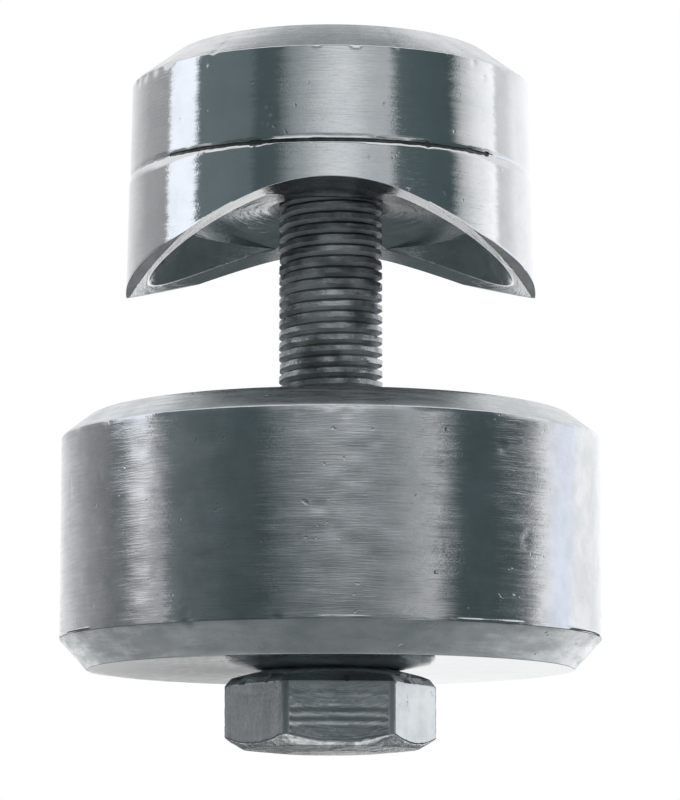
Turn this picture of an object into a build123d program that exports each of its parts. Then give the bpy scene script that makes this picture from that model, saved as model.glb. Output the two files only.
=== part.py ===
from build123d import *
from math import asin, atan, cos, degrees, radians, sin, sqrt, tan
import os

# Knockout punch for round holes in sheet metal, in millimetres.
# The origin is the middle of the draw bolt's foot, and +Z runs up the bolt's axis.
# The bolt stands on its hexagon, the cup-shaped die rests on the hexagon with its mouth
# up, and the punch is screwed onto the thread above it, with its two cutting tips on X.

# Draw bolt
thread_diameter = 9.4
bolt_length = 50.0
bolt_end_chamfer = 1.0
hex_across_flats = 16.6
hex_corner_radius = 0.8
hex_turn = 5.1
head_height = 7.3
foot_radius = 4.5
foot_crown_radius = 7.8
foot_crown_angle = 5.5
foot_chamfer_angle = 30.0
head_bearing_radius = 5.9
head_cone_angle = 14.0
head_bevel_height = 0.6
head_bevel_width = 0.45

# Hole that the tool cuts, and the gap between the two cutting edges
cutting_diameter = 37.0
cutting_clearance = 0.15

# Die, a turned cup
die_diameter = 48.4
die_height = 22.5
die_top_chamfer_height = 1.9
die_top_chamfer_width = 2.5
die_bottom_chamfer_height = 2.7
die_bottom_chamfer_width = 2.5
die_cavity_depth = 14.0
die_land_depth = 4.0
die_relief = 0.4
die_relief_slope_height = 0.8
die_floor_radius = 1.5
bolt_hole_clearance = 0.35
bolt_hole_chamfer = 0.4

# Punch, a turned body with two ground tips
sheet_gap = 11.3
punch_height = 21.7
punch_wall_taper = 1.0
punch_top_chamfer_height = 2.7
punch_top_chamfer_width = 3.6
land_height = 10.4
ring_groove_width = 0.4
ring_groove_depth = 0.2
body_step = 0.08
thread_clearance = 0.05
punch_bore_chamfer = 0.8

# Arch ground across the punch, between its tips
arch_rise = 7.35
arch_haunch_radius = 47.0
arch_crown_half_angle = 20.0
tip_flat = 0.3

# Four flats that bring each tip to a point
tip_relief_sink = 0.1
tip_relief_inward_angle = 12.5
tip_relief_side_angle = 9.65

# Hollow turned in the underside of the punch
tip_rim_width = 1.5
hollow_depth = 6.9
hollow_wall_angle = 22.8
hollow_ceiling_angle = 8.0

# Tools that cut right through reach this far past the solid
overrun = 1.0

thread_radius = thread_diameter / 2
cutting_radius = cutting_diameter / 2
die_radius = die_diameter / 2
tips_z = head_height + die_height + sheet_gap


def turned(points):
    """A solid turned about Z from a closed outline of radii and heights."""
    return revolve(Plane.XZ * make_face(Polyline(*points, close=True)), axis=Axis.Z)


def on_arc(centre_x, centre_z, radius, angle):
    """A point on a circle, at an angle from straight up."""
    turn = radians(angle)
    return (centre_x + radius * sin(turn), centre_z + radius * cos(turn))


def make_bolt_head():
    """The hexagon, bevelled and coned on top, with a shallow crown and a chamfer at its foot."""
    apothem = hex_across_flats / 2
    hex_face = Rot(0, 0, hex_turn) * RegularPolygon(apothem, 6, major_radius=False)
    hex_face = fillet(hex_face.vertices(), hex_corner_radius)
    bevel_corner = (apothem - head_bevel_width) / cos(radians(30))
    cone_drop = (bevel_corner - head_bearing_radius) * tan(radians(head_cone_angle))
    bevel_top = head_height - cone_drop
    side_top = bevel_top - head_bevel_height
    bevel_lean = degrees(atan(head_bevel_width / head_bevel_height))
    sides = extrude(hex_face, side_top)
    bevel = extrude(Pos(0, 0, side_top) * hex_face, head_bevel_height, taper=bevel_lean)
    crown_face = bevel.faces().sort_by(Axis.Z)[-1]
    crown = extrude(crown_face, cone_drop, dir=(0, 0, 1))
    corner = apothem / cos(radians(30)) + overrun
    crown_rise = (foot_crown_radius - foot_radius) * tan(radians(foot_crown_angle))
    chamfer_rise = (corner - foot_crown_radius) * tan(radians(foot_chamfer_angle))
    top_drop = (corner - head_bearing_radius) * tan(radians(head_cone_angle))
    envelope = turned(
        [
            (0, 0),
            (foot_radius, 0),
            (foot_crown_radius, crown_rise),
            (corner, crown_rise + chamfer_rise),
            (corner, head_height - top_drop),
            (head_bearing_radius, head_height),
            (0, head_height),
        ]
    )
    return (sides + bevel + crown) & envelope


def make_draw_bolt():
    """Hexagon head and shank. The fine thread is not cut."""
    end_z = head_height + bolt_length
    shank = turned(
        [
            (0, head_height),
            (thread_radius, head_height),
            (thread_radius, end_z - bolt_end_chamfer),
            (thread_radius - bolt_end_chamfer, end_z),
            (0, end_z),
        ]
    )
    return make_bolt_head() + shank


def make_die():
    """Cup with a sharp cutting mouth, relieved below it, and a plain hole for the bolt."""
    mouth = cutting_radius + cutting_clearance
    relieved = mouth + die_relief
    hole = thread_radius + bolt_hole_clearance
    floor_z = die_height - die_cavity_depth
    relief_z = die_height - die_land_depth
    cup = turned(
        [
            (hole + bolt_hole_chamfer, 0),
            (die_radius - die_bottom_chamfer_width, 0),
            (die_radius, die_bottom_chamfer_height),
            (die_radius, die_height - die_top_chamfer_height),
            (die_radius - die_top_chamfer_width, die_height),
            (mouth, die_height),
            (mouth, relief_z),
            (relieved, relief_z - die_relief_slope_height),
            (relieved, floor_z),
            (hole + bolt_hole_chamfer, floor_z),
            (hole, floor_z - bolt_hole_chamfer),
            (hole, bolt_hole_chamfer),
        ]
    )
    floor_edge = cup.edges().filter_by(GeomType.CIRCLE)
    floor_edge = floor_edge.filter_by(lambda edge: abs(edge.radius - relieved) < 0.001)
    cup = fillet(floor_edge.sort_by(Axis.Z)[0], die_floor_radius)
    return Pos(0, 0, head_height) * cup


def make_punch_blank():
    """The turned body: a tapered cutting land, a ring groove and a slimmer body above."""
    slope = tan(radians(punch_wall_taper))
    body_z = land_height + ring_groove_width
    shoulder_z = punch_height - punch_top_chamfer_height
    land_top = cutting_radius - land_height * slope
    body_bottom = cutting_radius - body_z * slope - body_step
    body_top = cutting_radius - shoulder_z * slope - body_step
    groove = land_top - ring_groove_depth
    return turned(
        [
            (0, 0),
            (cutting_radius, 0),
            (land_top, land_height),
            (groove, land_height),
            (groove, body_z),
            (body_bottom, body_z),
            (body_top, shoulder_z),
            (body_top - punch_top_chamfer_width, punch_height),
            (0, punch_height),
        ]
    )


def make_arch():
    """Three-centred arch, cut across the punch along Y."""
    half_span = cutting_radius - tip_flat
    crown_sin = sin(radians(arch_crown_half_angle))
    crown_cos = cos(radians(arch_crown_half_angle))
    # The crown and haunch arcs are tangent, so their centres lie this far apart.
    square = 2 * (1 - crown_cos)
    linear = 2 * (half_span * crown_sin + (arch_rise - arch_haunch_radius) * (1 - crown_cos))
    constant = half_span**2 + arch_rise**2 - 2 * arch_rise * arch_haunch_radius
    centre_gap = (-linear + sqrt(linear**2 - 4 * square * constant)) / (2 * square)
    crown_radius = arch_haunch_radius - centre_gap
    crown_z = arch_rise - crown_radius
    haunch_x = -centre_gap * crown_sin
    haunch_z = crown_z - centre_gap * crown_cos
    spring_angle = degrees(asin((half_span - haunch_x) / arch_haunch_radius))
    middle_angle = (spring_angle + arch_crown_half_angle) / 2
    joint = on_arc(0, crown_z, crown_radius, arch_crown_half_angle)
    middle = on_arc(haunch_x, haunch_z, arch_haunch_radius, middle_angle)
    outline = [
        ThreePointArc((-half_span, 0), (-middle[0], middle[1]), (-joint[0], joint[1])),
        ThreePointArc((-joint[0], joint[1]), (0, arch_rise), joint),
        ThreePointArc(joint, middle, (half_span, 0)),
        Polyline((half_span, 0), (half_span, -overrun), (-half_span, -overrun), (-half_span, 0)),
    ]
    return extrude(Plane.XZ * make_face(outline), cutting_diameter, both=True)


def make_tip_reliefs():
    """What four flats take off: each rises from a tip inward and to one side."""
    reach = cutting_radius + overrun
    inward = tan(radians(tip_relief_inward_angle))
    sideways = tan(radians(tip_relief_side_angle))
    flat = Plane(
        origin=(cutting_radius, 0, -tip_relief_sink),
        z_dir=(inward, -sideways, 1),
    )
    corner = (Align.MIN, Align.MIN, Align.MIN)
    block = Pos(0, 0, -overrun) * Box(reach, reach, punch_height, align=corner)
    quarter = split(block, bisect_by=flat, keep=Keep.BOTTOM)
    half = quarter + mirror(quarter, about=Plane.XZ)
    return half + mirror(half, about=Plane.YZ)


def make_hollow():
    """Flared hollow with a shallow coned ceiling, turned in the underside."""
    wall = tan(radians(hollow_wall_angle))
    mouth = cutting_radius - tip_rim_width
    ceiling_edge = mouth - hollow_depth * wall
    ceiling_rise = ceiling_edge * tan(radians(hollow_ceiling_angle))
    return turned(
        [
            (0, -overrun),
            (mouth + overrun * wall, -overrun),
            (ceiling_edge, hollow_depth),
            (0, hollow_depth + ceiling_rise),
        ]
    )


def make_punch_bore():
    """Bore for the bolt's thread, countersunk at the top and at the hollow's ceiling."""
    bore = thread_radius + thread_clearance
    sink = bore + punch_bore_chamfer
    ceiling_edge = cutting_radius - tip_rim_width - hollow_depth * tan(radians(hollow_wall_angle))
    sink_z = hollow_depth + (ceiling_edge - sink) * tan(radians(hollow_ceiling_angle))
    return turned(
        [
            (0, -overrun),
            (sink, -overrun),
            (sink, sink_z),
            (bore, sink_z + punch_bore_chamfer),
            (bore, punch_height - punch_bore_chamfer),
            (sink, punch_height),
            (sink, punch_height + overrun),
            (0, punch_height + overrun),
        ]
    )


def make_punch():
    """Punch body with its arch, tip flats, hollow and bore, standing on its tips."""
    body = make_punch_blank() - make_arch() - make_tip_reliefs() - make_hollow() - make_punch_bore()
    return Pos(0, 0, tips_z) * body


pieces = {
    "draw_bolt": make_draw_bolt(),
    "die": make_die(),
    "punch": make_punch(),
}

os.makedirs("parts", exist_ok=True)
for name, piece in pieces.items():
    export_step(piece, f"parts/{name}.step")
    print(name, "solids", len(piece.solids()), "volume", round(piece.volume, 1))
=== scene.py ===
import bpy
import math
import numpy as np
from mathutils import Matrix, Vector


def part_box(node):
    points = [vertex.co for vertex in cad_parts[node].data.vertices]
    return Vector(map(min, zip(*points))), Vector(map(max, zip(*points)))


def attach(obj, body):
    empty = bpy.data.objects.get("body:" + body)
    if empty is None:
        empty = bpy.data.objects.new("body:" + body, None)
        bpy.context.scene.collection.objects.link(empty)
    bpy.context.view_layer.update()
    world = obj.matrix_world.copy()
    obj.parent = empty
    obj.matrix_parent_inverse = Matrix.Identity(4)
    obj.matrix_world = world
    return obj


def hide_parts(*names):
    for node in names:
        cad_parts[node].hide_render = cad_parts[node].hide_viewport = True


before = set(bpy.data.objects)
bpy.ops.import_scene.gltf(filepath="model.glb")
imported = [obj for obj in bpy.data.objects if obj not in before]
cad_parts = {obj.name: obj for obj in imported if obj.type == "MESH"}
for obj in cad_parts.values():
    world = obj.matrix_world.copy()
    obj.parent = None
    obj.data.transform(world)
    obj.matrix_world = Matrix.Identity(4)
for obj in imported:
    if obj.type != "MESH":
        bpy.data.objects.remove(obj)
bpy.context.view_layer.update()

# Knockout punch. Shapes are worked out in millimetres, in the part's own frame: the foot of
# the draw bolt is at the origin, +Z runs up the bolt and the cutting tips lie on X.
MM = 0.001


def node_box(node):
    """Lowest and highest corner of a node of the part, in millimetres."""
    low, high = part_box(node)
    return np.array(low) / MM, np.array(high) / MM


def slope(degrees):
    """Rise over run of a slope."""
    return math.tan(math.radians(degrees))


bolt_high = node_box("draw_bolt")[1]
die_low, die_high = node_box("die")
punch_low, punch_high = node_box("punch")

# Sizes of the draw bolt
thread_radius = 4.7
thread_pitch = 1.0
thread_depth = 0.58
thread_gap = 0.06
bolt_end = bolt_high[2]
bolt_end_chamfer = 1.0
hex_across_flats = 16.6
apothem = hex_across_flats / 2
hex_corner_radius = 0.8
hex_turn = math.radians(5.1 + 30.0)
head_height = die_low[2]
foot_radius = 4.5
foot_crown_radius = 7.8
foot_crown = slope(5.5)
foot_chamfer = slope(30.0)
head_bearing_radius = 5.9
head_cone = slope(14.0)
head_bevel_height = 0.6
head_bevel_width = 0.45

# Sizes of the die
die_radius = die_high[0]
die_base = die_low[2]
die_height = die_high[2] - die_low[2]
die_top_chamfer_height = 1.9
die_top_chamfer_width = 2.5
die_bottom_chamfer_height = 2.7
die_bottom_chamfer_width = 2.5
die_cavity_depth = 14.0
die_land_depth = 4.0
die_relief = 0.4
die_relief_slope_height = 0.8
die_floor_radius = 1.5
die_hole_radius = thread_radius + 0.35
die_hole_chamfer = 0.4

# Sizes of the punch
cutting_radius = punch_high[0]
cutting_clearance = 0.15
tips = punch_low[2]
punch_height = punch_high[2] - punch_low[2]
punch_taper = slope(1.0)
punch_top_chamfer_height = 2.7
punch_top_chamfer_width = 3.6
land_height = 10.4
groove_width = 0.4
groove_depth = 0.2
body_step = 0.08
bore_radius = thread_radius + 0.05
bore_chamfer = 0.8
arch_rise = 7.35
arch_haunch_radius = 47.0
arch_crown_angle = math.radians(20.0)
tip_flat = 0.3
tip_sink = 0.1
tip_inward = slope(12.5)
tip_sideways = slope(9.65)
tip_rim_width = 1.5
land_slope = slope(3.0)
hollow_depth = 6.9
hollow_wall = slope(22.8)
hollow_ceiling = slope(8.0)


# Random wear


def lattice(ix, iy, iz, seed):
    """A random value from -1 to 1 for each whole-numbered point, the same on every run."""
    mixed = (ix * 73856093) ^ (iy * 19349663) ^ (iz * 83492791) ^ (seed * 40503)
    mixed = mixed & 0xFFFFFFFF
    mixed = ((mixed ^ (mixed >> 15)) * 739982445) & 0xFFFFFFFF
    mixed = ((mixed ^ (mixed >> 12)) * 695872825) & 0xFFFFFFFF
    return ((mixed ^ (mixed >> 15)) & 0xFFFF) / 32767.5 - 1.0


def grain(x, y, z, seed):
    """Smooth noise from -1 to 1 with a grain of about one unit."""
    point = np.stack(np.broadcast_arrays(x, y, z)).astype(float)
    cell = np.floor(point).astype(np.int64)
    part = point - cell
    part = part * part * (3 - 2 * part)
    total = 0.0
    for corner in range(8):
        step = np.array([corner & 1, corner >> 1 & 1, corner >> 2])
        weight = 1.0
        for axis in range(3):
            weight = weight * (part[axis] if step[axis] else 1 - part[axis])
        index = [cell[axis] + step[axis] for axis in range(3)]
        total = total + weight * lattice(*index, seed)
    return total


def ramp(value, low, high):
    """0 below low, 1 above high and smooth between them."""
    part = np.clip((value - low) / (high - low), 0, 1)
    return part * part * (3 - 2 * part)


# Direction of the camera's side, counted like the meshes' angles from +X.
front_angle = -math.pi / 2


def nicks(angles, z, wall_radius, places):
    """Depth of small nicks in a round wall, each (degrees from the front, height, radius, depth)."""
    depth = np.zeros(len(angles))
    for degrees, height, radius, deep in places:
        turn = (angles - front_angle - math.radians(degrees) + math.pi) % math.tau - math.pi
        depth = depth + deep * np.exp(-(((turn * wall_radius) ** 2 + (z - height) ** 2) / radius**2))
    return depth


# Meshes of rings


def column_angles(count):
    """Angles of a mesh's columns, evenly round the axis."""
    return np.arange(count) * math.tau / count


def grid_faces(rows, columns, closed):
    """Faces between rows of points that run round; closed joins the last row to the first."""
    bands = np.arange(rows if closed else rows - 1)
    row, column = np.meshgrid(bands, np.arange(columns), indexing="ij")
    after_row, after_column = (row + 1) % rows, (column + 1) % columns
    corners = ((row, column), (row, after_column), (after_row, after_column), (after_row, column))
    return np.stack([line * columns + place for line, place in corners], axis=-1).reshape(-1, 4)


def ring_mesh(name, angles, rows, zones, materials, closed=True):
    """A mesh of rings about Z. Each row is (radius, height).

    zones gives each band's material, as one number or as one for each column."""
    count = len(angles)
    radius = np.array([np.broadcast_to(row[0], count) for row in rows])
    height = np.array([np.broadcast_to(row[1], count) for row in rows])
    points = np.stack([radius * np.cos(angles), radius * np.sin(angles), height], axis=-1)
    faces = grid_faces(len(rows), count, closed)
    zones = np.concatenate([np.broadcast_to(zone, count) for zone in zones])
    return mesh_object(name, points.reshape(-1, 3), faces, zones, materials)


def mesh_object(name, points, faces, zones, materials):
    """An object from points in millimetres and faces, each with its material's number."""
    mesh = bpy.data.meshes.new(name)
    mesh.from_pydata((points * MM).tolist(), [], faces.tolist())
    for material in materials:
        mesh.materials.append(material)
    mesh.polygons.foreach_set("material_index", np.array(zones, np.int32))
    mesh.polygons.foreach_set("use_smooth", np.ones(len(faces), bool))
    mesh.update()
    obj = bpy.data.objects.new(name, mesh)
    bpy.context.scene.collection.objects.link(obj)
    return obj


def rounded(corners, steps):
    """A profile of (radius, height, rounding, zone) corners with the corners rounded.

    Returns its points and, for each, the zone of the stretch that starts there."""
    points, zones = [], []
    count = len(corners)
    for index, (r, z, rounding, zone) in enumerate(corners):
        here = np.array([r, z])
        if rounding == 0:
            points.append(here)
            zones.append(zone)
            continue
        before = np.array(corners[index - 1][:2]) - here
        after = np.array(corners[(index + 1) % count][:2]) - here
        before = before / np.linalg.norm(before)
        after = after / np.linalg.norm(after)
        for step in range(steps + 1):
            t = step / steps
            points.append(here + rounding * ((1 - t) ** 2 * before + t**2 * after))
            zones.append(corners[index - 1][3] if step < steps / 2 else zone)
    return points, zones


def subdivided(points, zones, longest):
    """The same closed profile with no stretch longer than its zone's longest."""
    new_points, new_zones = [], []
    for index, point in enumerate(points):
        following = points[(index + 1) % len(points)]
        pieces = max(1, math.ceil(np.linalg.norm(following - point) / longest[zones[index]]))
        for piece in range(pieces):
            new_points.append(point + (following - point) * piece / pieces)
            new_zones.append(zones[index])
    return new_points, new_zones


def finish_piece(obj, node, sharp_angle=35.0):
    """Smooth shading with crisp creases; the piece stands for a node and rides on its body."""
    obj.data.set_sharp_from_angle(angle=math.radians(sharp_angle))
    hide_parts(node)
    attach(obj, node)
    return obj


# Materials


class Shader:
    """Short calls that add and link shader nodes."""

    def __init__(self, tree):
        self.tree = tree

    def add(self, kind, *values, **settings):
        """A new node of a kind. values go to its inputs in order; None leaves one as it is."""
        node = self.tree.nodes.new(f"ShaderNode{kind}")
        for key, value in settings.items():
            setattr(node, key, value)
        for socket, value in zip(node.inputs, values):
            self.put(socket, value)
        return node

    def put(self, socket, value):
        if isinstance(value, bpy.types.NodeSocket):
            self.tree.links.new(value, socket)
        elif value is not None:
            socket.default_value = value

    def place(self):
        """The shaded point in the piece's own frame, in millimetres."""
        place = self.add("TexCoord").outputs["Object"]
        return self.vector("MULTIPLY", place, (1000.0, 1000.0, 1000.0))

    def math(self, operation, first, second=None, third=None):
        return self.add("Math", first, second, third, operation=operation).outputs[0]

    def times(self, first, second):
        return self.math("MULTIPLY", first, second)

    def vector(self, operation, first, second=None):
        node = self.add("VectorMath", first, second, operation=operation)
        return node.outputs["Value"] if operation == "LENGTH" else node.outputs[0]

    def combine(self, x, y, z):
        return self.add("CombineXYZ", x, y, z).outputs[0]

    def separate(self, vector):
        return self.add("SeparateXYZ", vector).outputs

    def noise(self, vector, scale, detail, rough):
        return self.add("TexNoise", vector, None, scale, detail, rough).outputs["Fac"]

    def span(self, value, low, high, new_low=0.0, new_high=1.0):
        """From new_low at low to new_high at high, smooth between them."""
        ends = (low, high, new_low, new_high)
        return self.add("MapRange", value, *ends, interpolation_type="SMOOTHSTEP").outputs[0]

    def between(self, value, start, full, fading, end):
        """0 up to start, 1 from full to fading and 0 again from end on."""
        return self.times(self.span(value, start, full), self.span(value, fading, end, 1.0, 0.0))

    def mix(self, factor, first, second):
        """A mix of two colours, each an output of a node or (red, green, blue)."""
        node = self.add("Mix", factor, data_type="RGBA")
        for socket, color in (("A", first), ("B", second)):
            self.put(node.inputs[socket], (*color, 1) if isinstance(color, tuple) else color)
        return node.outputs["Result"]

    def curve(self, value, stops):
        """A colour by value, from stops of (value, (red, green, blue))."""
        node = self.add("ValToRGB", value)
        elements = node.color_ramp.elements
        for element, (place, color) in zip(elements, (stops[0], stops[-1])):
            element.position = place
            element.color = (*color, 1)
        for place, color in stops[1:-1]:
            elements.new(place).color = (*color, 1)
        return node.outputs[0]


def steel(part, light, dark, roughness, streaks, grit, pits, metallic=1.0):
    """Worn tool steel: turning marks, stain, small pits and a skin that isn't quite even.

    light and dark are the colours of clean and of stained steel. streaks and grit tilt the
    surface round the axis, in long thin marks and in fine specks."""
    material = bpy.data.materials.new(f"{part}_steel")
    material.use_nodes = True
    shader = Shader(material.node_tree)
    surface = material.node_tree.nodes["Principled BSDF"]
    surface.inputs["Metallic"].default_value = metallic
    place = shader.place()
    x, y, z = shader.separate(place)
    radius = shader.vector("LENGTH", shader.combine(x, y, 0.0))
    # Turning marks vary fast along the profile and slowly round the axis.
    along = shader.math("MULTIPLY_ADD", radius, -5.0, shader.times(z, 7.0))
    around = shader.combine(shader.times(x, 0.45), shader.times(y, 0.45), along)
    marks = shader.noise(around, 1.0, 3.0, 0.6)
    flecks = shader.noise(around, 0.4, 4.0, 0.7)
    stain = shader.noise(place, 0.30, 4.0, 0.6)
    speckle = shader.noise(place, 3.2, 2.0, 0.7)
    fine = shader.noise(place, 7.0, 1.0, 0.5)
    worn = shader.noise(place, 0.22, 2.0, 0.5)
    color = shader.mix(shader.span(stain, 0.35, 0.68), light, dark)
    color = shader.mix(shader.times(shader.span(speckle, 0.60, 0.74), 0.40), color, dark)
    surface_roughness = shader.span(flecks, 0.3, 0.75, roughness * 0.75, roughness * 1.35)
    hole = shader.span(shader.noise(place, 1.1, 2.0, 0.5), 0.70, 0.80)
    height = shader.times(marks, 0.3)
    height = shader.math("SUBTRACT", height, shader.times(hole, pits))
    bump = shader.add("Bump")
    for name, value in (("Strength", 1.0), ("Distance", 0.00002), ("Height", height)):
        shader.put(bump.inputs[name], value)
    tilt = shader.times(shader.math("SUBTRACT", flecks, 0.5), streaks)
    specks = shader.times(shader.math("SUBTRACT", fine, 0.5), grit)
    specks = shader.times(specks, shader.span(worn, 0.35, 0.65, 0.25, 1.5))
    tangent = shader.add("Tangent", direction_type="RADIAL", axis="Z").outputs[0]
    lean = shader.add("VectorMath", tangent, operation="SCALE")
    shader.put(lean.inputs["Scale"], shader.math("ADD", tilt, specks))
    normal = shader.vector("NORMALIZE", shader.vector("ADD", bump.outputs[0], lean.outputs[0]))
    for name, value in (("Base Color", color), ("Roughness", surface_roughness), ("Normal", normal)):
        shader.put(surface.inputs[name], value)
    return material


# Each steel's colours, clean and stained, then its roughness, streaks, grit and pits. Where dirt or rough
# grinding dulls it, or where the steel paints light or shade, the last number makes it less metallic.
die_wall_steel = steel("die_wall", (0.61, 0.62, 0.65), (0.51, 0.53, 0.55), 0.12, 0.11, 0.09, 0.8)
die_chamfer_steel = steel("die_chamfer", (0.58, 0.60, 0.62), (0.46, 0.49, 0.50), 0.30, 0.12, 0.10, 1.0)
die_base_steel = steel("die_base", (0.80, 0.82, 0.84), (0.72, 0.75, 0.77), 0.03, 0.02, 0.02, 0.1)
die_inside_steel = steel("die_inside", (0.52, 0.54, 0.56), (0.40, 0.43, 0.44), 0.28, 0.2, 0.2, 0.8)
punch_wall_steel = steel("punch_wall", (0.64, 0.65, 0.67), (0.58, 0.60, 0.62), 0.06, 0.06, 0.06, 0.6)
punch_chamfer_steel = steel("punch_chamfer", (0.60, 0.61, 0.63), (0.46, 0.48, 0.50), 0.24, 0.2, 0.2, 0.8)
punch_inside_steel = steel("punch_inside", (0.50, 0.53, 0.54), (0.38, 0.41, 0.42), 0.14, 0.3, 0.2, 0.7)
punch_ground_steel = steel("punch_ground", (0.50, 0.51, 0.52), (0.42, 0.43, 0.44), 0.08, 0.1, 0.1, 0.4)
punch_relief_steel = steel(
    "punch_relief", (0.62, 0.62, 0.63), (0.46, 0.47, 0.48), 0.42, 0.15, 0.15, 0.4, 0.55
)
# The groove's floor and the countersink get a near-black steel: painted shade in these recesses.
recess_shade_steel = steel("countersink", (0.12, 0.135, 0.14), (0.05, 0.06, 0.06), 0.35, 0.3, 0.3, 0.8)
thread_steel = steel("thread", (0.46, 0.49, 0.51), (0.14, 0.16, 0.17), 0.21, 0.6, 1.0, 2.0, 0.75)
# The thread's root is near black: painted shade in the crease between the teeth.
root_shade_steel = steel("root", (0.07, 0.085, 0.085), (0.03, 0.035, 0.035), 0.50, 0.3, 0.3, 0.8, 0.3)
flank_steel = steel("flank", (0.50, 0.54, 0.55), (0.22, 0.25, 0.26), 0.42, 0.8, 1.0, 1.5, 0.40)
head_steel = steel("head", (0.53, 0.56, 0.58), (0.42, 0.45, 0.48), 0.13, 0.12, 0.16, 1.2)
# The head's bevel, just under the die, gets a near-black steel: painted shade between the parts.
bevel_shade_steel = steel("bevel", (0.14, 0.16, 0.17), (0.08, 0.09, 0.10), 0.30, 0.3, 0.3, 0.8)
# The coned bearing face is pale and barely metallic: painted light that lifts the dark gap under the die.
lit_crown_steel = steel("crown", (0.70, 0.76, 0.77), (0.60, 0.66, 0.67), 0.40, 0.3, 0.3, 0.8, 0.2)
# The foot's pale, half-metallic steel is painted light from below; its dark stains are wear.
lit_foot_steel = steel("foot", (0.80, 0.80, 0.80), (0.32, 0.34, 0.35), 0.25, 0.6, 0.9, 3.0, 0.6)


def dull_corners(material, dullness):
    """Rougher steel along the hexagon's corners."""
    shader = Shader(material.node_tree)
    roughness = material.node_tree.nodes["Principled BSDF"].inputs["Roughness"]
    smooth = roughness.links[0].from_socket
    x, y, z = shader.separate(shader.add("TexCoord").outputs["Object"])
    turn = shader.math("SUBTRACT", shader.math("ARCTAN2", y, x), hex_turn)
    near = shader.span(shader.math("COSINE", shader.times(turn, 6.0)), -0.99, -0.95, 1.0, 0.0)
    shader.put(roughness, shader.math("MAXIMUM", smooth, shader.times(near, dullness)))


def scrape_glints(material, scale, low, high, color):
    """Flecks of pure white where the steel is scraped bare: real scrapes, painted as glints."""
    shader = Shader(material.node_tree)
    base = material.node_tree.nodes["Principled BSDF"].inputs["Base Color"]
    under = base.links[0].from_socket
    fleck = shader.span(shader.noise(shader.place(), scale, 4.0, 0.7), low, high)
    shader.put(base, shader.mix(fleck, under, color))


dull_corners(head_steel, 0.55)
scrape_glints(lit_foot_steel, 0.8, 0.50, 0.54, (1.0, 1.0, 1.0))


# Die

wall_skin = 0.06
die_columns = 540
# A burr stands out just over the lower chamfer.
burr_size = 0.045
burr_place = 0.2
burr_width = 0.07
die_nicks = [
    (-30, 3.4, 0.30, 0.04),
    (37, 17.6, 0.30, 0.04),
    (43, 9.8, 0.40, 0.04),
    (44, 10.4, 0.25, 0.03),
    (76, 9.2, 0.35, 0.04),
    (-55, 15.8, 0.30, 0.03),
    (128, 7.0, 0.35, 0.04),
    (-141, 14.1, 0.40, 0.04),
    (171, 11.9, 0.30, 0.03),
]
# Only what lies this near the wall is worn.
worn_depth = 3.0
# Longest step of the mesh along the profile, for each zone: wall, chamfer, base and inside.
die_steps = [0.35, 0.5, 1.2, 1.2]


def wall_wear(x, y, z):
    """Depth of the dents, scuffs and shallow waves in the die's turned wall."""
    waves = 0.010 * grain(x * 0.5, y * 0.5, z * 0.9, 2)
    dents = 0.016 * ramp(grain(x * 0.75, y * 0.75, z * 0.75, 5), 0.62, 0.92)
    scrapes = 0.008 * ramp(grain(x * 0.4, y * 0.4, z * 2.6, 6), 0.50, 0.85)
    return dents + scrapes - waves


def make_die():
    """The cup: its turned wall has worn, nicked edges, dents and scuffs."""
    mouth = cutting_radius + cutting_clearance
    relieved = mouth + die_relief
    floor = die_height - die_cavity_depth
    relief = die_height - die_land_depth
    wall, chamfer, base, inside = range(4)
    outer = die_radius - wall_skin
    corners = [
        (die_hole_radius + die_hole_chamfer, 0, 0.06, base),
        (die_radius - die_bottom_chamfer_width, 0, 0.06, chamfer),
        (outer, die_bottom_chamfer_height, 0.05, wall),
        *((outer, die_bottom_chamfer_height + 0.05 * step, 0, wall) for step in range(3, 9)),
        (outer, die_height - die_top_chamfer_height, 0.14, chamfer),
        (die_radius - die_top_chamfer_width, die_height, 0.25, chamfer),
        (mouth, die_height, 0.08, inside),
        (mouth, relief, 0.10, inside),
        (relieved, relief - die_relief_slope_height, 0.2, inside),
        (relieved, floor, die_floor_radius, inside),
        (die_hole_radius + die_hole_chamfer, floor, 0.06, inside),
        (die_hole_radius, floor - die_hole_chamfer, 0.06, inside),
        (die_hole_radius, die_hole_chamfer, 0.06, inside),
    ]
    points, zones = rounded(corners, 4)
    points, zones = subdivided(points, zones, die_steps)
    angles = column_angles(die_columns)
    x, y = np.cos(angles), np.sin(angles)
    rows = []
    for r, z in points:
        radius = np.full(die_columns, r)
        if r > die_radius - worn_depth:
            radius = radius - wall_wear(x * r, y * r, z) - nicks(angles, z, die_radius, die_nicks)
            for edge, reach, depth in (
                (die_height - die_top_chamfer_height, 0.22, 0.05),
                (die_bottom_chamfer_height, 0.30, 0.06),
            ):
                near = math.exp(-(((z - edge) / reach) ** 2))
                chip = ramp(grain(x * r * 0.9, y * r * 0.9, z * 0.5, 3), 0.35, 0.8)
                radius = radius - near * depth * chip
            burr = ramp(grain(x * r * 0.35, y * r * 0.35, 0.0, 4), -0.1, 0.5)
            on_burr = math.exp(-(((z - die_bottom_chamfer_height - burr_place) / burr_width) ** 2))
            radius = radius + burr_size * burr * on_burr
            radius = np.minimum(radius, die_radius)
        rows.append((radius, die_base + z))
    materials = [die_wall_steel, die_chamfer_steel, die_base_steel, die_inside_steel]
    die = ring_mesh("die_cup", angles, rows, zones, materials)
    return finish_piece(die, "die")


# Punch


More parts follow.
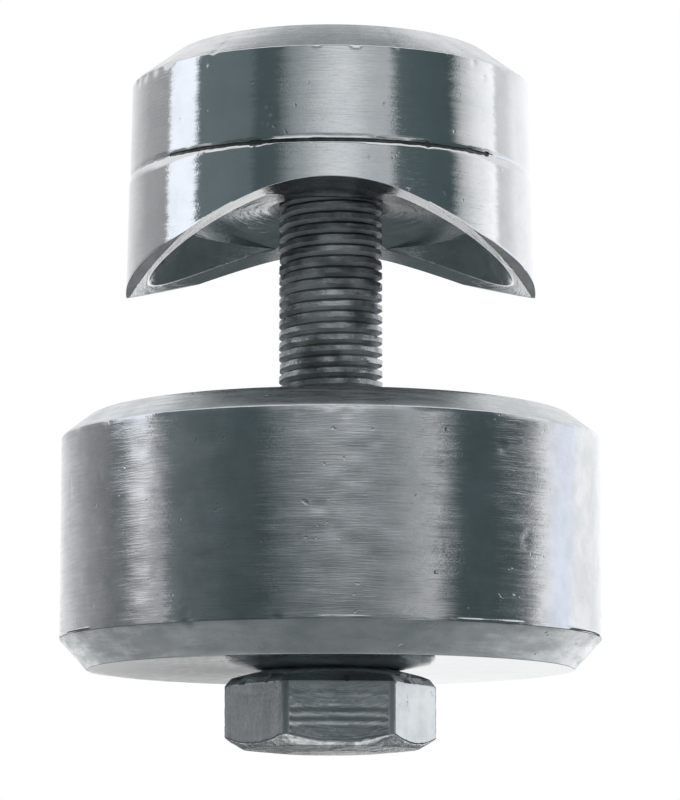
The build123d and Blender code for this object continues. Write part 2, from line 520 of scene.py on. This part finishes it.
def arch_height(x):
    """Height of the arch above the tips: a crown arc between two flatter haunch arcs."""
    half_span = cutting_radius - tip_flat
    s, c = math.sin(arch_crown_angle), math.cos(arch_crown_angle)
    square = 2 * (1 - c)
    linear = 2 * (half_span * s + (arch_rise - arch_haunch_radius) * (1 - c))
    constant = half_span**2 + arch_rise**2 - 2 * arch_rise * arch_haunch_radius
    gap = (-linear + math.sqrt(linear**2 - 4 * square * constant)) / (2 * square)
    crown = arch_haunch_radius - gap
    across = np.abs(x)
    inner = arch_rise - crown + np.sqrt(np.maximum(crown**2 - across**2, 0))
    under_root = arch_haunch_radius**2 - (across + gap * s) ** 2
    outer = arch_rise - crown - gap * c + np.sqrt(np.maximum(under_root, 0))
    height = np.where(across < crown * s, inner, outer)
    return np.where(across < half_span, height, np.minimum(outer, 0.0))


def tip_height(x, y):
    """Height of the four flats that bring the tips to a point."""
    return -tip_sink + tip_inward * (cutting_radius - np.abs(x)) + tip_sideways * np.abs(y)


# Radius at which the hollow's wall meets its ceiling.
hollow_edge = cutting_radius - tip_rim_width - hollow_depth * hollow_wall


def hollow_height(r):
    """Height of the turned hollow: a flared wall and a shallow coned ceiling."""
    wall = (cutting_radius - tip_rim_width - r) / hollow_wall
    ceiling = hollow_depth + (hollow_edge - r) * hollow_ceiling
    return np.minimum(wall, ceiling)


# Heights above the tips: the bore's lower end, over the countersink in the hollow's ceiling,
# the body's lower edge, over the groove, and the shoulder under the top chamfer.
bore_start = hollow_height(bore_radius + bore_chamfer) + bore_chamfer
body_start = land_height + groove_width
shoulder = punch_height - punch_top_chamfer_height
# Radii: the land's at the groove, and the body's before its taper.
land_radius = cutting_radius - land_height * punch_taper
body_radius = cutting_radius - body_step
punch_columns = 600
# Zones of the punch's mesh, in the order of its materials.
INSIDE, GROUND, WALL, CHAMFER, RELIEF, SHADED_RECESS = range(6)


def crossing(first, second, low, high):
    """Radius per column where first drops below second, between low and high."""
    low, high = low.copy(), high.copy()
    for _ in range(40):
        middle = (low + high) / 2
        above = first(middle) > second(middle)
        low = np.where(above, middle, low)
        high = np.where(above, high, middle)
    return (low + high) / 2


def smooth_max(first, second, reach):
    """The larger of two heights, with the crease between them rounded."""
    overlap = np.maximum(reach - np.abs(first - second), 0)
    return np.maximum(first, second) + overlap**2 / (4 * reach)


def spread(start, end, count):
    """Radii from start to end, closer together near both, without the last one."""
    return [start + (end - start) * (1 - math.cos(math.pi * step / count)) / 2 for step in range(count)]


punch_nicks = [
    (-17, 13.6, 0.35, 0.05),
    (-16, 12.9, 0.25, 0.04),
    (-18, 12.2, 0.30, 0.05),
    (-53, 19.0, 0.40, 0.06),
    (-59, 18.9, 0.45, 0.07),
    (-66, 18.8, 0.50, 0.08),
    (-72, 18.7, 0.50, 0.08),
    (-37, 18.0, 0.25, 0.04),
    (44, 18.6, 0.30, 0.04),
    (48, 17.4, 0.25, 0.03),
    (33, 6.5, 0.25, 0.03),
    (69, 1.6, 0.30, 0.05),
    (124, 14.8, 0.30, 0.04),
    (-112, 16.2, 0.35, 0.04),
    (163, 18.8, 0.40, 0.05),
]


def punch_underside(angles):
    """Rows of the underside from the bore to the rim, and each band's zone."""
    count = len(angles)
    c, s = np.cos(angles), np.sin(angles)

    def land(r):
        return arch_height(r * c) + land_slope * (cutting_radius - r)

    def flats(r):
        return np.maximum(tip_height(r * c, r * s), 0.0)

    def face(r):
        return np.maximum(land(r), flats(r))

    rim = np.full(count, cutting_radius)
    sink = np.full(count, bore_radius + bore_chamfer)
    inner_edge = crossing(hollow_height, face, sink, rim)
    inside_edge = inner_edge - np.minimum(0.4, (hollow_edge - inner_edge) * 0.5)
    knee = np.where(inner_edge > hollow_edge, hollow_edge, inside_edge)
    flat_edge = crossing(land, flats, inner_edge, rim)
    rows, zones = [], []
    for start, end, steps, zone in (
        (sink, knee, 16, INSIDE),
        (knee, inner_edge, 10, INSIDE),
        (inner_edge, flat_edge, 10, GROUND),
        (flat_edge, rim, 8, RELIEF),
    ):
        for r in spread(start, end, steps):
            height = smooth_max(smooth_max(land(r), flats(r), 0.05), hollow_height(r), 0.08)
            rows.append((r, height))
            zones.append(zone)
    return rows, zones


def punch_lower_wall(angles, lip_height):
    """Rows of the cutting land, from the rim up to the groove's lip."""
    c, s = np.cos(angles), np.sin(angles)
    tip = tip_height(cutting_radius * c, cutting_radius * s)
    rim_height = np.maximum(np.maximum(arch_height(cutting_radius * c), tip), 0)
    edge = 0.07
    rows = [(cutting_radius - edge * 0.5 - 0.02, rim_height + 0.01)]
    for z in np.linspace(rim_height + edge, land_height - lip_height, 31):
        rows.append((cutting_radius - z * punch_taper, z))
    return rows


def punch_groove(angles):
    """Rows and zones of the ring groove, and the height of the land's worn lip under it."""
    c, s = np.cos(angles), np.sin(angles)
    # The groove runs true at the four quarters and is ragged between them.
    ragged = 0.15 + 0.85 * ramp(np.abs(np.sin(2 * angles)), 0.35, 0.65)
    wobble = ragged * (0.02 * grain(c * 22, s * 22, 0.0, 11) + 0.03 * grain(c * 70, s * 70, 0.0, 12))
    chips = ragged * ramp(grain(c * 24, s * 24, 0.0, 14), 0.45, 0.8)
    # Above the tips wear has turned the groove into little more than a slope.
    worn = ramp(np.abs(c), 0.70, 0.84)
    lip_height = 0.16 + 0.12 * ramp(-c, 0.30, 0.60) + 0.26 * worn
    # Near the middle the land's lip is still sharp, and the body's edge has a small burr.
    sharp = ramp(c, -0.36, -0.27) * ramp(-c, -0.20, -0.11)
    lip_height = lip_height * (1 - 0.85 * sharp)
    burr = 0.06 * ramp(c, -0.34, -0.26) * ramp(-c, -0.26, -0.16)
    lip_drop = 0.25 * lip_height * (1 - worn) + 0.105 * worn
    depth = groove_depth * (1 + 0.15 * ragged * grain(c * 30, s * 30, 0.0, 13)) * (1 - 0.40 * worn)
    lower_lip = land_height + wobble - 0.10 * chips
    upper_lip = body_start + 0.6 * wobble + 0.12 * chips
    rows = [
        (land_radius - lip_drop, lower_lip),
        (land_radius - np.maximum(depth * 0.6, lip_drop + 0.01), lower_lip + 0.05),
        (land_radius - depth, lower_lip + 0.13),
        (land_radius - depth, upper_lip - 0.13),
        (land_radius - np.maximum(depth * 0.6, body_step + 0.03), upper_lip - 0.05),
        (body_radius - body_start * punch_taper - 0.02 + burr, upper_lip),
    ]
    # Painted shade darkens the groove's floor, but for its worn ends.
    floor = np.where(np.abs(c) + 0.05 * grain(c * 30, s * 30, 0.0, 17) < 0.78, SHADED_RECESS, WALL)
    return rows, [WALL, WALL, floor, floor, WALL, WALL], lip_height


def punch_upper_wall():
    """Rows of the body over the groove, up to just under its shoulder."""
    heights = np.linspace(body_start + 0.25, shoulder - 0.2, 39)
    return [(body_radius - z * punch_taper, z) for z in heights]


def punch_top():
    """Rows and zones from the shoulder over the top and down the bore to its lower end."""
    corners = [
        (body_radius - (shoulder - 0.2) * punch_taper, shoulder - 0.2, 0, WALL),
        (body_radius - shoulder * punch_taper, shoulder, 0.09, CHAMFER),
        (body_radius - shoulder * punch_taper - punch_top_chamfer_width, punch_height, 0.12, CHAMFER),
        (bore_radius + bore_chamfer, punch_height, 0.06, INSIDE),
        (bore_radius, punch_height - bore_chamfer, 0, INSIDE),
    ]
    points, zones = rounded(corners, 4)
    # The first corner only gives the shoulder its direction.
    rows = [(point[0], point[1]) for point in points[1:]]
    # From the bore's lower end the countersink flares to the underside's first row, in painted shade.
    return [*rows, (bore_radius, bore_start)], [*zones[1:], SHADED_RECESS]


def punch_wear(angles, z):
    """Depth of the dents and nicks in the punch's wall and of the chips at its shoulder."""
    c, s = np.cos(angles), np.sin(angles)
    chips = ramp(grain(c * 16, s * 16, 0.0, 15), 0.4, 0.8)
    near = np.exp(-(((z - shoulder) / 0.2) ** 2)) * 0.05
    dents = np.abs(0.006 * grain(c * 9, s * 9, z * 0.6, 16))
    return near * chips + (dents + nicks(angles, z, cutting_radius, punch_nicks))


def make_punch():
    """The punch's turned body with its hollow underside; the thread in its bore is apart."""
    angles = column_angles(punch_columns)
    groove_rows, groove_zones, lip_height = punch_groove(angles)
    lower_rows = punch_lower_wall(angles, lip_height)
    upper_rows = punch_upper_wall()
    top_rows, top_zones = punch_top()
    rows, zones = punch_underside(angles)
    rows = rows + lower_rows + groove_rows + upper_rows + top_rows
    zones = zones + [WALL] * len(lower_rows) + groove_zones + [WALL] * len(upper_rows) + top_zones
    # The wear fades out inwards, before the hollow.
    worn_rows = []
    for radius, z in rows:
        worn_radius = radius - ramp(radius, 12.0, 17.0) * punch_wear(angles, z)
        worn_rows.append((worn_radius, tips + z))
    materials = [
        punch_inside_steel,
        punch_ground_steel,
        punch_wall_steel,
        punch_chamfer_steel,
        punch_relief_steel,
        recess_shade_steel,
    ]
    punch = ring_mesh("punch_body", angles, worn_rows, zones, materials)
    return finish_piece(punch, "punch")


# Draw bolt

# The thread's profile over one pitch: (part of the pitch, depth as a part of the full depth).
# A broad worn crest comes first, then the upper flank, the root from the fourth point to the
# fifth, and the lower flank up to the next crest.
thread_profile = [(0.0, 0.0), (0.22, 0.0), (0.44, 0.0), (0.64, 1.0), (0.75, 1.0)]
# Zones of the thread's mesh, in the order of its materials, and the zone of each stretch.
CREST, SHADED_ROOT, LOWER_FLANK, END_FACE = range(4)
thread_zones = [CREST, CREST, CREST, SHADED_ROOT, LOWER_FLANK]
crest_radius = thread_radius - 0.01
# The thread starts inside the head, which hides its end.
thread_start = head_height - 0.5
thread_columns = 96
# Rings of the bolt's end face: (radius, height), down into the lathe's small centre hole.
end_rings = [(thread_radius - bolt_end_chamfer, 0.0), (2.4, 0.0), (1.1, 0.0), (0.9, -0.12), (0.02, -0.85)]


def helix_rows(start, end):
    """Rows that follow the right-hand helix: (height per column, depth)."""
    rise = column_angles(thread_columns) / math.tau * thread_pitch
    turns = math.ceil((end - start) / thread_pitch) + 1
    for turn in range(-1, turns):
        for place, depth in thread_profile:
            yield start + (turn + place) * thread_pitch + rise, depth


def thread_points(x, y):
    """Points of the worn thread, row by row, and their heights; x and y are the directions."""
    points, levels = [], []
    for z, depth in helix_rows(thread_start, bolt_end):
        wear = 0.03 * np.abs(grain(x * 7, y * 7, z * 1.3, 21))
        wear = wear + 0.04 * np.abs(grain(x * 22, y * 22, z * 3.0, 22))
        wear = wear + 0.08 * ramp(grain(x * 2.5, y * 2.5, z * 0.9, 23), 0.1, 0.7)
        z = z + 0.05 * grain(x * 6, y * 6, z * 1.1, 24) * (1 - depth)
        z = np.clip(z, thread_start, bolt_end)
        radius = crest_radius - thread_depth * depth - wear * (1 - depth)
        # The chamfer at the bolt's end cuts the thread off.
        cone = thread_radius - bolt_end_chamfer + (bolt_end - z)
        radius = np.minimum(radius, cone)
        points.append(np.stack([radius * x, radius * y, z], axis=-1))
        levels.append(z)
    return points, levels


def thread_faces(levels):
    """Faces between the thread's rows, and each one's zone."""
    per_turn = len(thread_profile)
    faces, zones = [], []
    for row in range(len(levels) - 1):
        for column in range(thread_columns):
            # Past the last column the helix goes on in the first column, one turn higher.
            beside = row + per_turn if column == thread_columns - 1 else row
            if beside + 1 >= len(levels):
                continue
            nearby = (column + 1) % thread_columns
            corners = ((row, column), (beside, nearby), (beside + 1, nearby), (row + 1, column))
            heights = [levels[line][place] for line, place in corners]
            # What the two ends squeeze flat has no face.
            if max(heights) - min(heights) < 1e-6:
                continue
            faces.append(tuple(line * thread_columns + place for line, place in corners))
            zones.append(thread_zones[row % per_turn])
    return faces, zones


def make_thread():
    """The bolt's shank with its worn thread, and the face at its end."""
    angles = column_angles(thread_columns)
    x, y = np.cos(angles), np.sin(angles)
    points, levels = thread_points(x, y)
    faces, zones = thread_faces(levels)
    end_faces = len(points) * thread_columns + grid_faces(len(end_rings), thread_columns, False)
    for radius, sunk in end_rings:
        height = np.full(thread_columns, bolt_end + sunk)
        points.append(np.stack([radius * x, radius * y, height], axis=-1))
    faces = np.concatenate([faces, end_faces])
    zones = zones + [END_FACE] * len(end_faces)
    materials = [thread_steel, root_shade_steel, flank_steel, head_steel]
    thread = mesh_object("bolt_thread", np.concatenate(points), faces, zones, materials)
    return finish_piece(thread, "draw_bolt", 50.0)


# The punch's thread: how far it is sunk in the bore's wall, its half-widths there, at the bore
# and at its tip, as parts of the pitch, and its distance from the bore's two ends.
ridge_sunk = 0.05
ridge_foot_half = 0.20
ridge_neck_half = 0.14
ridge_tip_half = 0.05
ridge_end_gap = 0.2


def make_punch_thread():
    """The thread in the punch's bore: a ridge that runs in the root of the bolt's thread."""
    low = tips + bore_start + ridge_end_gap
    high = tips + punch_height - bore_chamfer - ridge_end_gap
    root_middle = (thread_profile[-2][0] + thread_profile[-1][0]) / 2 * thread_pitch
    first_turn = math.ceil((low - thread_start - root_middle) / thread_pitch)
    turns = math.floor((high - thread_start - root_middle) / thread_pitch) - first_turn
    steps = turns * thread_columns
    turn = np.arange(steps + 1) / thread_columns
    angles = turn * math.tau
    middle = thread_start + root_middle + (first_turn + turn) * thread_pitch
    # The ridge rises out of the bore's wall over its first half turn, and sinks at its last.
    fading = np.minimum(ramp(turn, 0.0, 0.5), ramp(turns - turn, 0.0, 0.5))
    foot = bore_radius + ridge_sunk
    neck = bore_radius - ridge_sunk * fading
    tip = bore_radius - (bore_radius - (crest_radius - thread_depth + thread_gap)) * fading
    sections = []
    for radius, half_width in (
        (foot, ridge_foot_half),
        (neck, ridge_neck_half),
        (tip, ridge_tip_half),
        (tip, -ridge_tip_half),
        (neck, -ridge_neck_half),
        (foot, -ridge_foot_half),
    ):
        radius = np.broadcast_to(radius, turn.shape)
        points = [radius * np.cos(angles), radius * np.sin(angles), middle + half_width * thread_pitch]
        sections.append(np.stack(points, axis=-1))
    points = np.stack(sections, axis=1).reshape(-1, 3)
    # The other way round, so that the faces look outwards.
    faces = grid_faces(steps + 1, len(sections), False)[:, [0, 3, 2, 1]]
    ridge = mesh_object("punch_thread", points, faces, np.zeros(len(faces)), [thread_steel])
    return finish_piece(ridge, "punch", 40.0)


def hex_side(angles):
    """Angle from the middle of the nearest side of the hexagon."""
    return (angles - hex_turn + math.pi / 6) % (math.pi / 3) - math.pi / 6


def hex_radius(angles):
    """Distance from the axis to the hexagon's side with worn, rounded corners."""
    side = hex_side(angles)
    corner = math.pi / 6 - np.abs(side)
    # Near a corner the side is a circle of the corner radius, centred on the corner's line.
    flat = apothem / np.cos(side)
    centre = (apothem - hex_corner_radius) / math.cos(math.pi / 6)
    inside = np.maximum(hex_corner_radius**2 - (centre * np.sin(corner)) ** 2, 0)
    arc = centre * np.cos(corner) + np.sqrt(inside)
    aside = hex_corner_radius * math.sin(math.pi / 6)
    along = centre + hex_corner_radius * math.cos(math.pi / 6)
    return np.where(corner < math.atan2(aside, along), arc, flat)


# Shallow marks along the front side of the hexagon: height, half-width and depth.
side_marks = [
    (4.80, 0.14, 0.005),
    (3.63, 0.14, -0.006),
    (3.22, 0.20, 0.011),
    (2.81, 0.14, -0.005),
    (2.42, 0.20, 0.012),
    (2.05, 0.12, -0.005),
]
marked_side = math.radians(-84.9)
head_columns = 720


def head_wear(angles, z):
    """Depth of the dents, marks and burrs in the hexagon's sides."""
    x, y = np.cos(angles), np.sin(angles)
    dents = 0.012 * np.abs(grain(x * 9, y * 9, z * 0.7, 32))
    dents = dents + 0.006 * np.abs(grain(x * 30, y * 30, z * 3.0, 33))
    corner = ramp(np.abs(hex_side(angles)), math.radians(25), math.radians(29))
    dents = dents + 0.035 * corner * np.abs(grain(x * 26, y * 26, z * 2.4, 38))
    turn = (angles - marked_side + math.pi) % math.tau - math.pi
    on_side = ramp(-np.abs(turn), -math.radians(30.5), -math.radians(29))
    wander = 0.05 * grain(x * 5, y * 5, 0.0, 34)
    marks = 0.0
    for height, half_width, depth in side_marks:
        marks = marks + depth * np.exp(-(((z - height - wander) / half_width) ** 2))
    return dents + on_side * (marks + 0.014)


def make_head():
    """The hexagon head: crowned foot, worn sides, bevel and coned bearing face."""
    angles = column_angles(head_columns)
    c, s = np.cos(angles), np.sin(angles)
    side = hex_radius(angles)
    bevel_corner = (apothem - head_bevel_width) / math.cos(math.pi / 6)
    side_top = head_height - (bevel_corner - head_bearing_radius) * head_cone - head_bevel_height
    bevelled = side - head_bevel_width / np.cos(hex_side(angles))
    crown_rise = (foot_crown_radius - foot_radius) * foot_crown
    foot, sides, bevel, crown_zone = range(4)
    rows, zones = [], []

    def add(radius, z, zone):
        rows.append((radius, z))
        zones.append(zone)

    def scar(radius, amount):
        return amount * np.abs(grain(c * radius * 1.3, s * radius * 1.3, 0.0, 35))

    for radius in (0.02, 1.5, 3.0, foot_radius - 0.1):
        add(radius, 0.0, foot)
    for radius in np.linspace(foot_radius + 0.1, foot_crown_radius - 0.1, 8):
        add(radius, (radius - foot_radius) * foot_crown + scar(radius, 0.05), foot)
    for t in np.linspace(0.0, 1.0, 6)[:-1]:
        radius = foot_crown_radius + (side - foot_crown_radius) * t
        add(radius, crown_rise + (radius - foot_crown_radius) * foot_chamfer + scar(radius, 0.06), foot)
    edge = crown_rise + (side - foot_crown_radius) * foot_chamfer
    burr = 0.05 * ramp(grain(c * 14, s * 14, 0.0, 36), 0.0, 0.7)
    add(side - 0.10, edge - 0.03 + burr, foot)
    add(side - 0.04, edge + 0.04 + burr, sides)
    # The sides start a little over the lower edge and end a little under the bevel.
    for z in np.linspace(edge + 0.14 + burr, side_top - 0.04, 41):
        add(side - 0.005 - head_wear(angles, z), z, sides)
    nick = 0.05 * ramp(grain(c * 11, s * 11, 0.0, 37), 0.2, 0.8)
    add(side - 0.05 - nick, side_top + 0.02, bevel)
    add(bevelled - nick, side_top + head_bevel_height, bevel)
    crown = np.minimum(head_height - (bevelled - head_bearing_radius) * head_cone, head_height)
    crown = np.maximum(crown, side_top + head_bevel_height + 0.02)
    add(bevelled - 0.02, crown, crown_zone)
    add((bevelled + head_bearing_radius) / 2, (crown + head_height) / 2, crown_zone)
    add(head_bearing_radius, head_height, crown_zone)
    # The bearing face ends inside the shank.
    add(crest_radius - thread_depth - 0.2, head_height, crown_zone)
    materials = [lit_foot_steel, head_steel, bevel_shade_steel, lit_crown_steel]
    head = ring_mesh("bolt_head", angles, rows, zones[:-1], materials, closed=False)
    return finish_piece(head, "draw_bolt", 30.0)


make_die()
make_punch()
make_punch_thread()
make_head()
make_thread()


# Floor, light and camera


def shade(level, tint=0.0):
    """A grey, made a little green and blue for the dark gaps."""
    return (level * (1 - 0.28 * tint), level, level * (1 + 0.05 * tint))


# The tent's panels by azimuth in degrees: 0 is the camera's side, positive to its right.
# After the azimuth comes a shade's level, with its tint if it has one, or a whole colour.
# The high panels are what the punch's wall sees, the low ones what the die's wall sees.
high_panels = [
    (-180, 1.15),
    (-150, 0.85),
    (-128, 0.52),
    (-111, 0.45),
    (-106, 0.45),
    (-103.5, 1.36, 1.42, 1.50),
    (-84, 1.36, 1.42, 1.50),
    (-80, 0.23, 0.7),
    (-47, 0.20, 0.8),
    (-42, 0.12, 1),
    (-30, 0.11, 1),
    (-22, 0.28, 0.4),
    (0, 0.30, 0.3),
    (20, 0.36, 0.3),
    (33, 0.52, 0.2),
    (39, 0.14, 1),
    (72, 0.115, 1),
    (80, 0.70, 0.1),
    (90, 1.1),
    (106, 1.5),
    (110, 0.88),
    (119, 0.93),
    (130, 1.2),
    (150, 1.25),
    (180, 1.15),
]
low_panels = [
    (-180, 1.15),
    (-147, 0.80),
    (-128, 0.48),
    (-114, 0.34),
    (-104, 0.22, 0.3),
    (-94, 0.24, 0.3),
    (-89.5, 1.0),
    (-82, 1.35),
    (-78, 0.90),
    (-72, 0.26, 0.4),
    (-65, 0.20, 0.5),
    (-42, 0.13, 0.9),
    (-28, 0.11, 1),
    (-20, 0.18, 0.5),
    (-10, 0.24, 0.4),
    (0, 0.285, 0.3),
    (20, 0.30, 0.3),
    (29, 0.40, 0.2),
    (36, 0.60, 0.1),
    (43, 0.80),
    (48, 0.45, 0.2),
    (54, 0.12, 1),
    (76, 0.105, 1),
    (86, 0.14, 0.8),
    (94, 0.45, 0.1),
    (99, 1.0),
    (104, 1.2),
    (110, 1.14, 1.21, 1.32),
    (120, 1.16, 1.23, 1.34),
    (126, 1.35),
    (147, 1.15),
    (180, 1.15),
]
overhead_light = shade(0.42, 0.3)
rim_light = shade(1.1)
table_light = shade(0.13, 0.6)
left_side_light = shade(0.64)
left_end_light = shade(1.25)
right_side_light = shade(0.90)
right_end_light = shade(1.35)
ground_light = shade(0.26, 0.3)
foot_light = shade(1.0, 0.1)
back_left_light = shade(0.32)
back_end_light = shade(0.85)
back_right_light = shade(0.95)
stripe_light = shade(0.25)
edge_light = shade(0.03)
white = (1.0, 1.0, 1.0)
# A soft lamp high in front, by azimuth and elevation in degrees.
key_azimuth = 5.0
key_elevation = 14.0
key_width = 20.0
key_height = 5.0
key_strength = 0.68


def panel_stops(panels):
    """Stops of a colour curve that runs once round, from -180 to 180 degrees."""
    stops = []
    for angle, *light in panels:
        color = tuple(light) if len(light) == 3 else shade(*light)
        stops.append(((angle + 180.0) / 360.0, color))
    return stops


def tent_panels(shader, azimuth, elevation):
    """The tent's low and high panels, and the soft lamp in front."""
    # The low panels lean outwards, so the die's bands lean inwards towards its base.
    lean = shader.math("MULTIPLY_ADD", shader.math("MAXIMUM", elevation, 4.7), -0.02, 1.12)
    low_turn = shader.math("MULTIPLY_ADD", shader.times(azimuth, lean), 1 / 360.0, 0.5)
    high_turn = shader.math("MULTIPLY_ADD", azimuth, 1 / 360.0, 0.5)
    low = shader.curve(low_turn, panel_stops(low_panels))
    high = shader.curve(high_turn, panel_stops(high_panels))
    # A grey stripe on the left fades out upwards.
    off_stripe = shader.math("ABSOLUTE", shader.math("ADD", azimuth, 86.0))
    stripe = shader.span(off_stripe, 8.0, 13.0, 1.0, 0.0)
    stripe = shader.times(stripe, shader.span(elevation, 4.2, 8.0, 0.82, 0.0))
    low = shader.mix(stripe, low, stripe_light)
    panels = shader.mix(shader.span(elevation, 8.0, 11.0), low, high)
    across = shader.math("DIVIDE", shader.math("SUBTRACT", azimuth, key_azimuth), key_width)
    up = shader.math("DIVIDE", shader.math("SUBTRACT", elevation, key_elevation), key_height)
    distance = shader.math("ADD", shader.math("POWER", across, 2.0), shader.math("POWER", up, 2.0))
    key = shader.times(shader.math("EXPONENT", shader.times(distance, -1.0)), key_strength)
    return shader.vector("ADD", panels, shader.combine(key, key, key))


def table_edge(shader, azimuth, elevation):
    """How much of the low front is something dark: the table's edge and a gap over it."""
    front = shader.span(shader.math("ABSOLUTE", azimuth), 50.0, 75.0, 1.0, 0.0)
    edge = shader.span(elevation, 1.2, 2.4, 0.62, 0.0)
    edge = shader.times(edge, shader.span(elevation, -9.0, -4.0))
    gap = shader.span(elevation, 3.0, 3.7, 0.0, 0.40)
    gap = shader.times(gap, shader.span(elevation, 4.2, 4.8, 1.0, 0.0))
    return shader.times(front, shader.math("MAXIMUM", edge, gap))


def under_table(shader, azimuth, elevation, aside):
    """The dark under the horizon, with a light strip that is nearer the further to the side."""
    strip_place = shader.math("MULTIPLY_ADD", elevation, -1.1, aside)
    strip = shader.between(strip_place, 160.0, 167.0, 176.0, 180.0)
    left_strip = shader.mix(shader.span(aside, 140.0, 165.0), left_side_light, left_end_light)
    right_strip = shader.mix(shader.span(aside, 114.0, 160.0), right_side_light, right_end_light)
    strip_light = shader.mix(shader.span(azimuth, -1.0, 1.0), left_strip, right_strip)
    return shader.mix(strip, table_light, strip_light)


def sky():
    """White for the camera, and for metal a light tent with dark gaps between its panels."""
    world = bpy.data.worlds.new("tent")
    bpy.context.scene.world = world
    world.use_nodes = True
    tree = world.node_tree
    tree.nodes.clear()
    shader = Shader(tree)
    direction = shader.add("TexCoord").outputs["Generated"]
    x, y, z = shader.separate(shader.vector("NORMALIZE", direction))
    azimuth = shader.math("ARCTAN2", x, shader.times(y, -1.0))
    azimuth = shader.times(azimuth, math.degrees(1.0))
    aside = shader.math("ABSOLUTE", azimuth)
    elevation = shader.times(shader.math("ARCSINE", z), math.degrees(1.0))
    glossy = tent_panels(shader, azimuth, elevation)
    glossy = shader.mix(table_edge(shader, azimuth, elevation), glossy, edge_light)
    # At the sides the bright rim of the tent's roof hangs lower.
    rim_place = shader.math("ADD", elevation, shader.span(aside, 75.0, 105.0, 0.0, 10.5))
    glossy = shader.mix(shader.span(rim_place, 24.0, 31.0), glossy, rim_light)
    glossy = shader.mix(shader.span(elevation, 47.0, 58.0), glossy, overhead_light)
    # Behind the tool what lies under the horizon is in sight, and the horizon is uneven.
    below = under_table(shader, azimuth, elevation, aside)
    raised = shader.between(aside, 146.0, 152.0, 168.0, 171.0)
    horizon = shader.math("MULTIPLY_ADD", raised, -6.0, elevation)
    under_horizon = shader.span(horizon, -3.4, -2.4, 1.0, 0.0)
    glossy = shader.mix(shader.times(under_horizon, shader.span(aside, 100.0, 125.0)), glossy, below)
    # In front the table mirrors the panels.
    behind = shader.span(aside, 56.0, 78.0, 0.30, 1.0)
    low_down = shader.span(elevation, -13.0, -6.0, 1.0, 0.0)
    glossy = shader.mix(shader.times(low_down, behind), glossy, below)
    # Straight behind stand two cards: grey to light on the left and light on the right.
    left_card = shader.mix(shader.span(azimuth, -178.5, -173.0), back_left_light, back_end_light)
    card = shader.mix(shader.span(azimuth, -1.0, 1.0), left_card, back_right_light)
    cards = shader.times(under_horizon, shader.span(aside, 172.5, 174.5))
    cards = shader.times(cards, shader.span(elevation, -17.0, -11.0))
    glossy = shader.mix(cards, glossy, card)
    # The ground under the tool is dark, but behind it light comes up to the foot.
    ground = shader.mix(shader.span(elevation, -82.0, -72.0), ground_light, foot_light)
    ground = shader.mix(shader.span(aside, 95.0, 120.0), ground_light, ground)
    glossy = shader.mix(shader.span(elevation, -60.0, -48.0, 1.0, 0.0), glossy, ground)
    in_metal = shader.add("LightPath").outputs["Is Glossy Ray"]
    background = shader.add("Background", shader.mix(in_metal, white, glossy))
    shader.add("OutputWorld", background.outputs[0])


sky()


def make_floor():
    """A pale floor under the bolt's foot, seen only from above."""
    size = 1.5
    points = np.array([(-size, -size, 0), (size, -size, 0), (size, size, 0), (-size, size, 0)]) / MM
    material = bpy.data.materials.new("floor")
    material.use_nodes = True
    tree = material.node_tree
    shader = Shader(tree)
    paint = tree.nodes["Principled BSDF"]
    paint.inputs["Base Color"].default_value = (0.82, 0.82, 0.82, 1)
    paint.inputs["Roughness"].default_value = 0.9
    paint.inputs["Specular IOR Level"].default_value = 0.0
    clear = shader.add("BsdfTransparent")
    from_below = shader.add("NewGeometry").outputs["Backfacing"]
    in_metal = shader.add("LightPath").outputs["Is Glossy Ray"]
    unseen = shader.math("MAXIMUM", from_below, in_metal)
    mix = shader.add("MixShader", unseen, paint.outputs[0], clear.outputs[0])
    shader.put(tree.nodes["Material Output"].inputs[0], mix.outputs[0])
    floor = mesh_object("floor", points, np.array([(0, 1, 2, 3)]), [0], [material])


make_floor()

# The camera stands a little below the foot of the bolt and looks up at the tool.
image_height_px = 800
focal_px = 3589.4
camera_distance = 320.0
camera_height = -14.4
camera_pitch = math.radians(8.2)
camera_yaw = math.radians(0.15)

camera_data = bpy.data.cameras.new("camera")
camera_data.sensor_width = 36.0
camera_data.lens = focal_px * camera_data.sensor_width / image_height_px
camera_data.clip_start = 0.01
camera = bpy.data.objects.new("camera", camera_data)
camera.location = (0, -camera_distance * MM, camera_height * MM)
camera.rotation_euler = (math.pi / 2 + camera_pitch, 0, -camera_yaw)
bpy.context.scene.collection.objects.link(camera)
bpy.context.scene.camera = camera
bpy.context.scene.view_settings.view_transform = "Standard"
